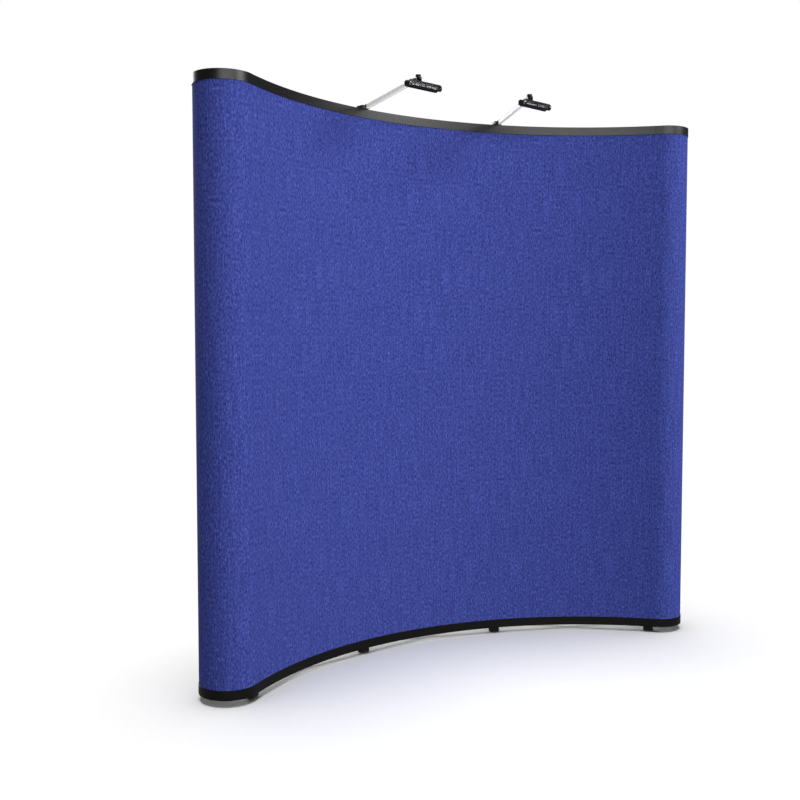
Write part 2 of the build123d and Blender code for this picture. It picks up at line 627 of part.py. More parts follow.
# ================================================================ arm lights
def light_peg():
    """Loose peg that carries a light, in the hub's column frame at the swivel axis of the clip block."""
    top = PEG_SEAT + PEG_FLANGE
    peg = rod(SOCKET_BORE_RADIUS, (0, 0, SOCKET_TOP - LIGHT_PEG_LENGTH), (0, 0, PEG_SEAT + 0.1))
    flange = rod(PEG_FLANGE_RADIUS, (0, 0, PEG_SEAT), (0, 0, top))
    return peg + flange + rod(PEG_STUB_RADIUS, (0, 0, top), (0, 0, top + PEG_STUB))


def arm_slope(side):
    """Degrees that a light's arm rises towards its tip."""
    return degrees(atan2(ARM_TIP_HEIGHTS[side] - ARM_START_HEIGHT, ARM_START - KNOB_DEPTH))


def arm_line(side):
    """Location of an arm at the clip block: local Y runs along the arm towards the viewer."""
    start = ARM_START - FRONT_PIVOT
    return Location((0, start, ARM_START_HEIGHT), (-arm_slope(side), 0, 180))


def oval_bar(width, height, corner, y0, y1):
    """Bar along local Y with rounded long edges."""
    bar = block(-width / 2, width / 2, y0, y1, -height / 2, height / 2)
    return fillet(bar.edges().filter_by(Axis.Y), corner)


def clip_block(side):
    """Block that turns on the peg and holds the arm, with the cable's gland at its rear."""
    half = CLIP_WIDTH / 2
    front = ARM_START - FRONT_PIVOT + CLIP_NECK
    rear = front + CLIP_DEPTH
    body = block(-half, half, front, rear, CLIP_BOTTOM, CLIP_BOTTOM + CLIP_BLOCK_HEIGHT)
    body = fillet(body.edges().filter_by(Axis.Z), 4)
    body = fillet(body.faces().sort_by(Axis.Z)[-1].edges(), 3)
    neck = arm_line(side) * oval_bar(ARM_WIDTH + 5, ARM_HEIGHT, ARM_CORNER, -CLIP_NECK - 10, 0)
    body += neck - block(-half, half, front - CLIP_DEPTH, rear, 0, CLIP_BOTTOM)
    gland_height = CLIP_BOTTOM + CLIP_BLOCK_HEIGHT / 2
    body += rod(GLAND_RADIUS, (0, rear - 1, gland_height), (0, rear + GLAND_LENGTH, gland_height))
    body -= rod(CABLE_BORE, (0, rear - 2, gland_height), (0, rear + GLAND_LENGTH + 1, gland_height))
    stub_end = PEG_SEAT + PEG_FLANGE + PEG_STUB
    body -= rod(PEG_STUB_RADIUS + BOLT_CLEARANCE, (0, 0, CLIP_BOTTOM - 1), (0, 0, stub_end + RUN_GAP))
    return body + arm_line(side) * oval_bar(*spigot_section(), -0.1, SPIGOT)


def spigot_section():
    """Section of the spigots that fit inside the arm tube."""
    loss = 2 * (ARM_WALL + SPIGOT_CLEARANCE)
    return ARM_WIDTH - loss, ARM_HEIGHT - loss, ARM_CORNER - ARM_WALL


def arm_length(side):
    """Length of a light's arm tube."""
    return (ARM_START - ARM_END) / cos(radians(arm_slope(side)))


def arm_tube(side):
    """Hollow arm between the clip block and the tip."""
    length = arm_length(side)
    outside = oval_bar(ARM_WIDTH, ARM_HEIGHT, ARM_CORNER, SEAT_GAP, length)
    inside = oval_bar(ARM_WIDTH - 2 * ARM_WALL, ARM_HEIGHT - 2 * ARM_WALL, ARM_CORNER - ARM_WALL, 0, length + 1)
    return arm_line(side) * (outside - inside)


def arm_tip(side):
    """End plug of the arm, with the level tongue that the knuckle turns on."""
    length = arm_length(side)
    plug = arm_line(side) * oval_bar(*spigot_section(), length - SPIGOT, length + 2)
    face = arm_line(side) * oval_bar(ARM_WIDTH, ARM_HEIGHT, ARM_CORNER, length + SEAT_GAP, length + 4)
    y = KNOB_DEPTH - FRONT_PIVOT
    low, high = ARM_TIP_HEIGHTS[side] - TIP_THICKNESS / 2, ARM_TIP_HEIGHTS[side] + TIP_THICKNESS / 2
    tongue = block(-ARM_WIDTH / 2, ARM_WIDTH / 2, y, ARM_END - FRONT_PIVOT - 2, low, high)
    tongue += rod(TIP_RADIUS, (0, y, low), (0, y, high))
    return plug + face + tongue - rod(BOLT_RADIUS + BOLT_CLEARANCE, (0, y, low - 9), (0, y, high + 9))


def swivel_knob():
    """Knob and its bolt, on the swivel axis at the arm's tip; the origin is the middle of the tongue."""
    seat = TIP_THICKNESS / 2 + RUN_GAP + KNUCKLE_PLATE + RUN_GAP
    bolt = rod(BOLT_RADIUS, (0, 0, -seat), (0, 0, seat + 0.1))
    knob = rod(KNOB_RADIUS, (0, 0, seat), (0, 0, seat + KNOB_HEIGHT))
    for k in range(6):
        groove = rod(1.6, (KNOB_RADIUS + 0.6, 0, seat + 2), (KNOB_RADIUS + 0.6, 0, seat + KNOB_HEIGHT + 1))
        knob -= Rot(0, 0, 60 * k) * groove
    knob = fillet(knob.faces().sort_by(Axis.Z)[-1].edges(), 0.8)
    return bolt + knob


def knuckle():
    """Knuckle on the swivel axis: two plates round the arm's tongue and a triangular web down to the tilt bolt."""
    inner = TIP_THICKNESS / 2 + RUN_GAP
    reach = inner + KNUCKLE_PLATE
    front = -TIP_RADIUS - RUN_GAP - 0.5
    plates = rod(TIP_RADIUS, (0, 0, -reach), (0, 0, reach))
    plates += block(-KNUCKLE_TOP / 2, KNUCKLE_TOP / 2, front - KNUCKLE_PLATE, 0, -reach, reach)
    plates -= rod(TIP_RADIUS + RUN_GAP + 0.5, (0, 0, -inner), (0, 0, inner))
    plates -= block(-KNUCKLE_TOP, KNUCKLE_TOP, -1, KNUCKLE_TOP, -inner, inner)
    low = -TILT_DROP - KNUCKLE_THICKNESS / 2
    shape = Polyline((-KNUCKLE_TOP / 2, -inner), (KNUCKLE_TOP / 2, -inner), (KNUCKLE_BASE / 2, -TILT_DROP + 3),
                     (KNUCKLE_BASE / 2, low), (-KNUCKLE_BASE / 2, low), (-KNUCKLE_BASE / 2, -TILT_DROP + 3), close=True)
    start = -TILT_FORWARD + KNUCKLE_THICKNESS / 2
    web = extrude(Plane((0, start, 0), x_dir=(1, 0, 0), z_dir=(0, -1, 0)) * make_face(shape), KNUCKLE_THICKNESS)
    corner = KNUCKLE_THICKNESS / 2 - 0.5
    web = fillet(web.edges().filter_by(Axis.X).sort_by(Axis.Z)[:2], corner)
    body = plates + web
    body -= rod(BOLT_RADIUS + BOLT_CLEARANCE, (0, 0, -reach - 8), (0, 0, reach + 1))
    return body - rod(TILT_BOLT_RADIUS + BOLT_CLEARANCE, *tilt_line(KNUCKLE_BASE))


def tilt_line(length):
    """Stretch of the tilt axis centred on the knuckle."""
    return (-length / 2, -TILT_FORWARD, -TILT_DROP), (length / 2, -TILT_FORWARD, -TILT_DROP)


def tilt_bolt():
    """Bolt through the head's ears and the knuckle."""
    outside = KNUCKLE_BASE / 2 + RUN_GAP + EAR
    bolt = rod(TILT_BOLT_RADIUS, *tilt_line(2 * outside))
    for side in (1, -1):
        start = (side * outside, -TILT_FORWARD, -TILT_DROP)
        bolt += rod(TILT_BOLT_RADIUS + 2, start, (side * (outside + 2.5), -TILT_FORWARD, -TILT_DROP))
    return bolt


def head_centre():
    """Middle of the housing, from the swivel axis."""
    return (0, -TILT_FORWARD - HEAD_FORWARD, -TILT_DROP - HEAD_DROP)


def head_housing():
    """Bar-shaped housing with rounded ends, a long window towards the viewer and ears at its rear."""
    half = HEAD_LENGTH / 2
    _, y, z = head_centre()
    shell = block(-half, half, -HEAD_DEPTH / 2, HEAD_DEPTH / 2, -HEAD_HEIGHT / 2, HEAD_HEIGHT / 2)
    shell = fillet(shell.edges().filter_by(Axis.Y), HEAD_CORNER)
    shell = fillet(shell.edges().filter_by(Axis.Z), 4)
    inside = block(-WINDOW_LENGTH / 2 - 3, WINDOW_LENGTH / 2 + 3, -HEAD_DEPTH / 2 + HEAD_WALL + GLASS + 0.4,
                   HEAD_DEPTH / 2 - HEAD_WALL, -HEAD_HEIGHT / 2 + HEAD_WALL, HEAD_HEIGHT / 2 - HEAD_WALL)
    rebate = block(-WINDOW_LENGTH / 2 - 3, WINDOW_LENGTH / 2 + 3, -HEAD_DEPTH / 2 + HEAD_WALL,
                   -HEAD_DEPTH / 2 + HEAD_WALL + GLASS + 0.5, -WINDOW_HEIGHT / 2 - 2, WINDOW_HEIGHT / 2 + 2)
    window = block(-WINDOW_LENGTH / 2, WINDOW_LENGTH / 2, -HEAD_DEPTH, 0, -WINDOW_HEIGHT / 2, WINDOW_HEIGHT / 2)
    shell = Pos(0, y, z) * (shell - inside - rebate - fillet(window.edges().filter_by(Axis.Y), 3))
    for side in (1, -1):
        x0, x1 = sorted((side * (KNUCKLE_BASE / 2 + RUN_GAP), side * (KNUCKLE_BASE / 2 + RUN_GAP + EAR)))
        ear = rod(EAR_RADIUS, (x0, -TILT_FORWARD, -TILT_DROP), (x1, -TILT_FORWARD, -TILT_DROP))
        ear += block(x0, x1, y + HEAD_DEPTH / 2 - 1, -TILT_FORWARD, -TILT_DROP - EAR_RADIUS, -TILT_DROP + EAR_RADIUS)
        shell += ear
    return shell - rod(TILT_BOLT_RADIUS + BOLT_CLEARANCE, *tilt_line(2 * KNUCKLE_BASE))


def head_fittings():
    """Reflector, lamp, its two holders and the front glass, from the swivel axis."""
    middle = Pos(*head_centre())
    front = -HEAD_DEPTH / 2 + HEAD_WALL
    half = WINDOW_LENGTH / 2
    glass = block(-half - 2.8, half + 2.8, front + 0.2, front + 0.2 + GLASS,
                  -WINDOW_HEIGHT / 2 - 1.8, WINDOW_HEIGHT / 2 + 1.8)
    lamp_y = 4.0
    trough_radius = HEAD_HEIGHT / 2 - HEAD_WALL - 0.4
    trough = rod(trough_radius, (-half, lamp_y, 0), (half, lamp_y, 0))
    trough += block(-half, half, front + GLASS + 1, lamp_y, -trough_radius, trough_radius)
    hollow = rod(trough_radius - REFLECTOR, (-half - 1, lamp_y, 0), (half + 1, lamp_y, 0))
    hollow += block(-half - 1, half + 1, front - 1, lamp_y, -trough_radius + REFLECTOR, trough_radius - REFLECTOR)
    lamp_half = LAMP_LENGTH / 2
    lamp = rod(LAMP_RADIUS, (-lamp_half, lamp_y, 0), (lamp_half, lamp_y, 0))
    lamp = fillet(lamp.edges().filter_by(GeomType.CIRCLE), 1.5)
    holders = []
    for side in (1, -1):
        start = side * (lamp_half + 0.1)
        holder = rod(5.5, (start, lamp_y, 0), (start + side * HOLDER_LENGTH, lamp_y, 0))
        x0, x1 = sorted((start + side * 2, start + side * HOLDER_LENGTH))
        holder += block(x0, x1, lamp_y, lamp_y + trough_radius - REFLECTOR - 1.2, -3, 3)
        holders.append(middle * holder)
    return [middle * (trough - hollow)], [middle * lamp], holders, [middle * glass]


def light_nodes(side):
    """Nodes of one arm light, at its column."""
    root, tip = light_frame(side), tip_frame(side)
    reflector, lamp, holders, glass = head_fittings()
    parts = {
        "light_peg": [root * light_peg()],
        "clip_block": [root * clip_block(side)],
        "arm_tube": [root * arm_tube(side)],
        "arm_tip": [root * arm_tip(side)],
        "swivel_knob": [tip * swivel_knob()],
        "knuckle": [tip * knuckle()],
        "tilt_bolt": [tip * tilt_bolt()],
        "head_housing": [tip * head_housing()],
        "reflector": moved(reflector, tip),
        "lamp": moved(lamp, tip),
        "lamp_holders": moved(holders, tip),
        "front_glass": moved(glass, tip),
    }
    return {f"{side}_{name}": shapes for name, shapes in parts.items()}


def light_frame(side):
    """Location of a light's peg, with the swing of its arm at rest."""
    return column_frame(LIGHT_COLUMNS[side], FRONT_PIVOT, 0, ARM_SWINGS[side])


def tip_frame(side):
    """Location of a light's swivel axis at the arm's tip, with the turn of its head at rest."""
    tip = Location((0, KNOB_DEPTH - FRONT_PIVOT, ARM_TIP_HEIGHTS[side]), (0, 0, HEAD_SWIVELS[side]))
    return light_frame(side) * tip


# ================================================================ build
nodes = {**frame_nodes(), **bar_nodes(), **panel_nodes(), **light_nodes("left"), **light_nodes("right")}
bounds = [shape.bounding_box() for shapes in nodes.values() for shape in shapes]
front_edge = min(box.min.Y for box in bounds)
back_edge = max(box.max.Y for box in bounds)
origin_shift = -(front_edge + back_edge) / 2

os.makedirs("parts", exist_ok=True)
for node_name, node_shapes in nodes.items():
    write(node_name, node_shapes, Pos(0, origin_shift, 0))
print(f"{len(nodes)} nodes, shifted {origin_shift:.3f} mm along Y")
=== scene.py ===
import json
from math import asin, cos, hypot, pi, radians, sin, sqrt

import bmesh
import bpy
from mathutils import Matrix, Vector

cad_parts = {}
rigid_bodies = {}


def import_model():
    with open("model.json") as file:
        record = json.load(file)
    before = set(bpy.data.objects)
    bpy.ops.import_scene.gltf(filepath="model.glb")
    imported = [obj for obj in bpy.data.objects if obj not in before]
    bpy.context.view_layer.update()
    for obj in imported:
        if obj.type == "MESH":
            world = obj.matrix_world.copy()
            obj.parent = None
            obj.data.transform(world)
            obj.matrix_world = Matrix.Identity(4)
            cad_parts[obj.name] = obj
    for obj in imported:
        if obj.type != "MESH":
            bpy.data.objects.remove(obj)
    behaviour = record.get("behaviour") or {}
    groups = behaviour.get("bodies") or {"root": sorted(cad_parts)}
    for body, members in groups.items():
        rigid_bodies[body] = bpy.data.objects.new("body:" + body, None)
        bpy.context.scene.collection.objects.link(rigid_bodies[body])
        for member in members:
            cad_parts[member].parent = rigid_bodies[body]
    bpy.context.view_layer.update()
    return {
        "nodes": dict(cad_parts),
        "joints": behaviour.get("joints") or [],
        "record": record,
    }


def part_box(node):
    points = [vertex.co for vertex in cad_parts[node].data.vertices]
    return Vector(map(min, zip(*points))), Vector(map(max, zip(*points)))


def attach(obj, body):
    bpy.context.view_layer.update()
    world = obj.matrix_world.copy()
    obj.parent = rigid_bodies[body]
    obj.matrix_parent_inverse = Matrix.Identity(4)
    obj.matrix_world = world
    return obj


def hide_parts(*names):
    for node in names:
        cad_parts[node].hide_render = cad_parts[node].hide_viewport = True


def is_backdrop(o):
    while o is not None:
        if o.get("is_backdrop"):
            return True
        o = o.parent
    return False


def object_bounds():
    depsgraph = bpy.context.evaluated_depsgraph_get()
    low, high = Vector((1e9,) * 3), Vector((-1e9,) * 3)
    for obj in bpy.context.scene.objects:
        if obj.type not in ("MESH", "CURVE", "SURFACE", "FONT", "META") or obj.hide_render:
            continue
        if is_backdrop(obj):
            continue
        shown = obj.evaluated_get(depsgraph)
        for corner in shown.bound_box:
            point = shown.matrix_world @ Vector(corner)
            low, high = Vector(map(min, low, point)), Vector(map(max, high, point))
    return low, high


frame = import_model()
nodes = frame["nodes"]
joints = {joint["name"]: joint for joint in frame["joints"]}
homes = {node: body for body, members in frame["record"]["behaviour"]["bodies"].items() for node in members}
slots = {entry["node"]: entry["material_slot"] for entry in frame["record"]["subparts"]}
print("frame loaded,", len(nodes), "nodes")

# what the wall is laid out from, in metres and degrees
wall = dict(
    faceRadius=1.4108,                       # front face of the fabric, seen from above
    columns=(-40.4, -13.6, 12.5, 40.4),
    rows=(0.090, 0.783, 1.476, 2.169),
    frontHubs=0.030,                         # depth behind the fabric's face
    backHubs=0.186,
)
lightPeg = Vector(joints["left_arm_swing"]["pos_m"])
faceShift = lightPeg.y - (wall["faceRadius"] + wall["frontHubs"]) * cos(radians(wall["columns"][1]))
seams = [wall["faceRadius"] * sin(radians(angle)) for angle in wall["columns"]]


def arcPlace(angle, depth, height=0.0):      # by the angle round the arc and the depth behind the fabric's face
    reach = wall["faceRadius"] + depth
    return Vector((reach * sin(radians(angle)), reach * cos(radians(angle)) + faceShift, height))


# materials
def addNode(tree, kind, inputs=None, **settings):
    node = tree.nodes.new(kind)
    for name, value in settings.items():
        setattr(node, name, value)
    for name, value in (inputs or {}).items():
        node.inputs[name].default_value = value
    return node


def newMaterial(name, sockets):
    material = bpy.data.materials.new(name)
    material.use_nodes = True
    shader = material.node_tree.nodes["Principled BSDF"]
    for socket, value in sockets.items():
        shader.inputs[socket].default_value = value
    return material, material.node_tree, shader


def noiseOn(tree, source, size, stretch=(1, 1, 1), detail=2.0, roughness=0.5):   # size of its spots, in metres
    if source == "object":
        coords = addNode(tree, "ShaderNodeTexCoord").outputs["Object"]
    else:
        coords = addNode(tree, "ShaderNodeUVMap", uv_map=source).outputs["UV"]
    mapping = addNode(tree, "ShaderNodeMapping", {"Scale": [1 / (size * s) for s in stretch]})
    noise = addNode(tree, "ShaderNodeTexNoise", {"Scale": 1.0, "Detail": detail, "Roughness": roughness})
    tree.links.new(coords, mapping.inputs["Vector"])
    tree.links.new(mapping.outputs["Vector"], noise.inputs["Vector"])
    return noise.outputs["Fac"]


def ramp(tree, factor, stops):
    node = addNode(tree, "ShaderNodeValToRGB")
    elements = node.color_ramp.elements
    while len(elements) < len(stops):
        elements.new(0.5)
    for element, (position, colour) in zip(elements, stops):
        element.position = position
        element.color = (*colour, 1)
    tree.links.new(factor, node.inputs["Fac"])
    return node.outputs["Color"]


def ranged(tree, factor, low, high, start=0.25, end=0.75):
    node = addNode(tree, "ShaderNodeMapRange",
                   {"From Min": start, "From Max": end, "To Min": low, "To Max": high})
    tree.links.new(factor, node.inputs["Value"])
    return node.outputs["Result"]


def mixed(tree, factor, first, second, blend="MIX"):
    node = addNode(tree, "ShaderNodeMix", data_type="RGBA", blend_type=blend)
    for value, socket in ((factor, 0), (first, 6), (second, 7)):
        if isinstance(value, (int, float, tuple)):
            node.inputs[socket].default_value = value
        else:
            tree.links.new(value, node.inputs[socket])
    return node.outputs[2]


def raised(tree, shader, *layers):           # each layer is a height, its strength and its depth in metres
    normal = None
    for height, strength, depth in layers:
        bump = addNode(tree, "ShaderNodeBump", {"Strength": strength, "Distance": depth})
        tree.links.new(height, bump.inputs["Height"])
        if normal:
            tree.links.new(normal, bump.inputs["Normal"])
        normal = bump.outputs["Normal"]
    tree.links.new(normal, shader.inputs["Normal"])


def loopFabric(name, look):
    material, tree, shader = newMaterial(name, {
        "Sheen Weight": look["sheen"], "Sheen Roughness": 0.45, "Sheen Tint": (*look["sheenTint"], 1),
        "Specular IOR Level": look["specular"]})
    tufts = noiseOn(tree, "cloth", look["tuft"], (1, look["tuftStretch"], 1), 1.0, 0.5)
    strands = noiseOn(tree, "cloth", look["strand"], (1, look["strandStretch"], 1), 1.0, 0.5)
    streaks = noiseOn(tree, "cloth", look["streak"], (1, look["streakStretch"], 1), 1.0, 0.5)
    pile = ramp(tree, tufts, [(0.3, look["dark"]), (0.5, look["middle"]), (0.7, look["light"])])
    shade = ramp(tree, strands, [(0.3, (0.70, 0.71, 0.76)), (0.7, (1.3, 1.29, 1.24))])
    tone = ramp(tree, streaks, [(0.3, (0.84, 0.85, 0.88)), (0.7, (1.16, 1.15, 1.12))])
    colour = mixed(tree, 1.0, mixed(tree, 1.0, pile, shade, "MULTIPLY"), tone, "MULTIPLY")
    tree.links.new(colour, shader.inputs["Base Color"])
    tree.links.new(ranged(tree, tufts, 0.82, 0.97), shader.inputs["Roughness"])
    loops = addNode(tree, "ShaderNodeTexVoronoi", {"Scale": 1 / look["loop"], "Randomness": 0.9})
    coords = addNode(tree, "ShaderNodeUVMap", uv_map="cloth")
    tree.links.new(coords.outputs["UV"], loops.inputs["Vector"])
    raised(tree, shader, (tufts, 0.35, 0.0008), (loops.outputs["Distance"], 0.35, 0.0004))
    return material


def finish(name, look, source="object"):     # colour and roughness drift a little, under a fine grain
    sockets = {"Metallic": look.get("metallic", 0.0), **look.get("sockets", {})}
    material, tree, shader = newMaterial(name, sockets)
    stretch = look.get("stretch", (1, 1, 1))
    patches = noiseOn(tree, source, look.get("patch", 0.03), stretch, 4.0, 0.6)
    grain = noiseOn(tree, source, look["grain"], stretch, 3.0, 0.6)
    spread = look.get("spread", 0.12)
    low, high = ([min(c * k, 1.0) for c in look["colour"]] for k in (1 - spread, 1 + spread))
    tree.links.new(ramp(tree, patches, [(0.3, low), (0.7, high)]), shader.inputs["Base Color"])
    rough = look["rough"]
    tree.links.new(ranged(tree, grain, rough * 0.88, min(rough * 1.12, 1.0)), shader.inputs["Roughness"])
    raised(tree, shader, (grain, look.get("bump", 0.2), look.get("depth", 0.0001)))
    return material


fabricLook = dict(
    dark=(0.031, 0.040, 0.214), middle=(0.047, 0.065, 0.306), light=(0.070, 0.098, 0.395),
    tuft=0.0062, tuftStretch=1.8, strand=0.0038, strandStretch=4.5, streak=0.0080, streakStretch=20.0,
    loop=0.0016,                             # sizes in metres
    sheen=0.03, sheenTint=(0.5, 0.55, 1.0), specular=0.08)
looks = {
    "loop_fabric": loopFabric("loopFabric", fabricLook),
    "band_black": finish("bandBlack", dict(
        colour=(0.0020, 0.0020, 0.0019), rough=0.36, grain=0.0009, stretch=(60, 1, 1), bump=0.06, patch=0.004,
        sockets={"Specular IOR Level": 0.41}), "run"),
    "hub_plastic": finish("hubPlastic", dict(colour=(0.017, 0.017, 0.019), rough=0.5, grain=0.0006, bump=0.3)),
    "foot_plastic": finish("footPlastic", dict(
        colour=(0.009, 0.009, 0.009), rough=0.6, grain=0.0009, bump=0.4, sockets={"Specular IOR Level": 0.3})),
    "plated_steel": finish("platedSteel", dict(
        colour=(0.56, 0.56, 0.55), rough=0.3, grain=0.0005, patch=0.004, metallic=1.0, spread=0.15)),
    "frame_tube": finish("frameTube", dict(
        colour=(0.62, 0.63, 0.65), rough=0.36, grain=0.0006, metallic=1.0, spread=0.06, patch=0.05)),
    "magnet": finish("magnetNickel", dict(
        colour=(0.5, 0.49, 0.47), rough=0.2, grain=0.0008, patch=0.004, metallic=1.0)),
    "bar_metal": finish("barPaint", dict(colour=(0.02, 0.02, 0.022), rough=0.42, grain=0.0014, bump=0.35)),
    "magnetic_strip": finish("magneticStrip", dict(
        colour=(0.03, 0.026, 0.025), rough=0.75, grain=0.0007, bump=0.4)),
    "arm_silver": finish("armSilver", dict(
        colour=(0.56, 0.54, 0.54), rough=0.45, grain=0.0004, stretch=(1, 14, 1), metallic=0.2, spread=0.05,
        bump=0.12)),
    "light_black": finish("lightBlack", dict(
        colour=(0.0045, 0.004, 0.004), rough=0.3, grain=0.0005, bump=0.12,
        sockets={"Specular IOR Level": 0.3})),
    "front_glass": finish("frontGlass", dict(
        colour=(0.8, 0.8, 0.8), rough=0.3, grain=0.004, spread=0.02, bump=0.02,
        sockets={"Transmission Weight": 1.0, "IOR": 1.25})),
    "lamp_glass": finish("lampGlass", dict(
        colour=(0.85, 0.85, 0.82), rough=0.22, grain=0.001, spread=0.05, bump=0.1,
        sockets={"Transmission Weight": 0.25, "IOR": 1.45})),
    "lamp_ceramic": finish("lampCeramic", dict(colour=(0.7, 0.67, 0.6), rough=0.7, grain=0.0005, bump=0.3)),
    "reflector_metal": finish("reflectorMetal", dict(
        colour=(0.36, 0.35, 0.35), rough=0.5, grain=0.002, metallic=1.0, bump=0.08, depth=0.0002)),
}
fabricBack = finish("fabricBacking", dict(
    colour=(0.045, 0.046, 0.05), rough=0.92, grain=0.0009, spread=0.2, bump=0.6))
print("materials made")


# pieces that stand for the frame's nodes
def camelName(node):
    first, *rest = node.split("_")
    return first + "".join(word.capitalize() for word in rest)


def finished(name, mesh, body, slot, sharp, materials=None):     # a smooth-shaded piece on its body
    mesh.name = name
    piece = bpy.data.objects.new(name, mesh)
    bpy.context.scene.collection.objects.link(piece)
    if not mesh.materials:                   # what Geometry Nodes made has its material already
        for material in materials or [looks[slot]]:
            mesh.materials.append(material)
    for polygon in mesh.polygons:
        polygon.use_smooth = True
    if sharp:
        mesh.set_sharp_from_angle(angle=radians(sharp))
    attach(piece, body)
    return piece


def addPiece(node, mesh, sharp=35, materials=None):      # a finished piece that stands for a node
    piece = finished(camelName(node), mesh, homes[node], slots[node], sharp, materials)
    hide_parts(node)
    return piece


def soften(piece, width, segments=2, angle=40):
    bevel = piece.modifiers.new("softEdges", "BEVEL")
    bevel.width = width
    bevel.segments = segments
    bevel.limit_method = "ANGLE"
    bevel.angle_limit = radians(angle)
    piece.modifiers.new("evenShade", "WEIGHTED_NORMAL")
    return piece


def meshFrom(form):
    mesh = bpy.data.meshes.new("piece")
    form.to_mesh(mesh)
    form.free()
    return mesh


def mergedCopy(node):                        # the node's own shape, welded so that it can be shaded smoothly
    form = bmesh.new()
    form.from_mesh(nodes[node].data)
    bmesh.ops.remove_doubles(form, verts=form.verts, dist=0.00001)
    return meshFrom(form)


# fabric panels with their top and bottom bands
panels = dict(
    seamGap=0.0001,
    panelSteps=72,                           # stretches of each front panel round the arc
    fabricDepth=0.0024,
    bandFront=-0.002,
    bandBack=0.005,
    grooveGap=0.0001,
    bandEdge=0.0004,
    hemEdge=0.0002,
)
cap = dict(
    endAngle=41.29,                          # where the front arc ends
    lead=0.0108,                             # straight stretch before the half-round end
    roundRadius=0.108,
    lap=-0.0248,                             # where the rear edge ends, in the end's own frame
    roundSteps=56,
    frontSteps=5,
    lapSteps=4,
)


def frontLine(index):                        # outline of a front panel seen from above, at a depth
    x0, x1 = seams[index] + panels["seamGap"] / 2, seams[index + 1] - panels["seamGap"] / 2

    def line(depth):
        steps = panels["panelSteps"]
        places = [x0 + (x1 - x0) * k / steps for k in range(steps + 1)]
        reach = wall["faceRadius"] + depth
        return [Vector((x, sqrt(reach * reach - x * x) + faceShift)) for x in places]
    return line


def capLine(side):                           # outline of an end cap, from its seam round to the back
    def line(depth):
        reach = wall["faceRadius"] + depth
        seamX = seams[-1] + panels["seamGap"] / 2
        startAngle = asin(seamX / reach)
        endAngle = radians(cap["endAngle"])
        steps = cap["frontSteps"]
        angles = [startAngle + (endAngle - startAngle) * k / steps for k in range(steps + 1)]
        points = [Vector((reach * sin(a), reach * cos(a) + faceShift)) for a in angles]
        along = Vector((cos(endAngle), -sin(endAngle)))
        away = Vector((sin(endAngle), cos(endAngle)))
        origin = arcPlace(cap["endAngle"], 0).xy
        centre = origin + along * cap["lead"] + away * cap["roundRadius"]
        small = cap["roundRadius"] - depth
        for k in range(cap["roundSteps"] + 1):
            turn = pi * k / cap["roundSteps"]
            points.append(centre + (along * sin(turn) - away * cos(turn)) * small)
        rear = origin + away * (2 * cap["roundRadius"] - depth)
        for k in range(1, cap["lapSteps"] + 1):
            points.append(rear + along * (cap["lead"] + (cap["lap"] - cap["lead"]) * k / cap["lapSteps"]))
        return [Vector((side * p.x, p.y)) for p in points]
    return line


def sweep(line, section, uvName, backFace=None):         # section is a closed loop of depths and heights
    form = bmesh.new()
    uvLayer = form.loops.layers.uv.new(uvName)
    lines = {depth: line(depth) for depth, height in section}
    spine = lines[section[0][0]]
    run = [0.0]
    for before, after in zip(spine, spine[1:]):
        run.append(run[-1] + (after - before).length)
    around = [0.0]
    for (d0, z0), (d1, z1) in zip(section, section[1:] + section[:1]):
        around.append(around[-1] + hypot(d1 - d0, z1 - z0))
    rings = [[form.verts.new((*lines[d][k], z)) for d, z in section] for k in range(len(spine))]
    count = len(section)
    for k in range(len(spine) - 1):
        for i in range(count):
            j = (i + 1) % count
            face = form.faces.new((rings[k][i], rings[k + 1][i], rings[k + 1][j], rings[k][j]))
            face.material_index = 1 if i == backFace else 0
            corners = ((k, i), (k + 1, i), (k + 1, i + 1), (k, i + 1))
            for loop, (step, place) in zip(face.loops, corners):
                loop[uvLayer].uv = (run[step], around[place])
    for ring, u in ((rings[0], run[0]), (rings[-1], run[-1])):
        face = form.faces.new(ring)
        for loop, (depth, height) in zip(face.loops, section):
            loop[uvLayer].uv = (u + depth, height)
    bmesh.ops.recalc_face_normals(form, faces=form.faces)
    return meshFrom(form)


def bandSection(bottom, top, grooveEnd, mouth):          # a channel whose groove takes the fabric's edge
    front, back = panels["bandFront"], panels["bandBack"]
    near, far = -panels["grooveGap"], panels["fabricDepth"] + panels["grooveGap"]
    other = bottom + top - mouth
    return [(front, other), (front, mouth), (near, mouth), (near, grooveEnd), (far, grooveEnd), (far, mouth),
            (back, mouth), (back, other)]


panelLines = {"left_panel": frontLine(0), "middle_panel": frontLine(1), "right_panel": frontLine(2),
              "left_cap": capLine(-1), "right_cap": capLine(1)}
for panel, line in panelLines.items():
    low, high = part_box(panel + "_fabric")
    depth = panels["fabricDepth"]
    fabricSection = [(0.0, low.z), (0.0, high.z), (depth, high.z), (depth, low.z)]
    fabric = addPiece(panel + "_fabric", sweep(line, fabricSection, "cloth", 2), None,
                      [looks["loop_fabric"], fabricBack])
    soften(fabric, panels["hemEdge"])
    width = sum((b - a).length for a, b in zip(line(0.0), line(0.0)[1:]))
    for band, inner in (("_header", 0), ("_footer", 1)):
        bottom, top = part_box(panel + band)[0].z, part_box(panel + band)[1].z
        mouth = bottom if band == "_header" else top
        grooveEnd = (high.z + panels["grooveGap"]) if band == "_header" else (low.z - panels["grooveGap"])
        section = bandSection(bottom, top, grooveEnd, mouth)
        soften(addPiece(panel + band, sweep(line, section, "run"), None), panels["bandEdge"])
    addPiece(panel + "_strips", mergedCopy(panel + "_strips"))
print("panels and bands made")


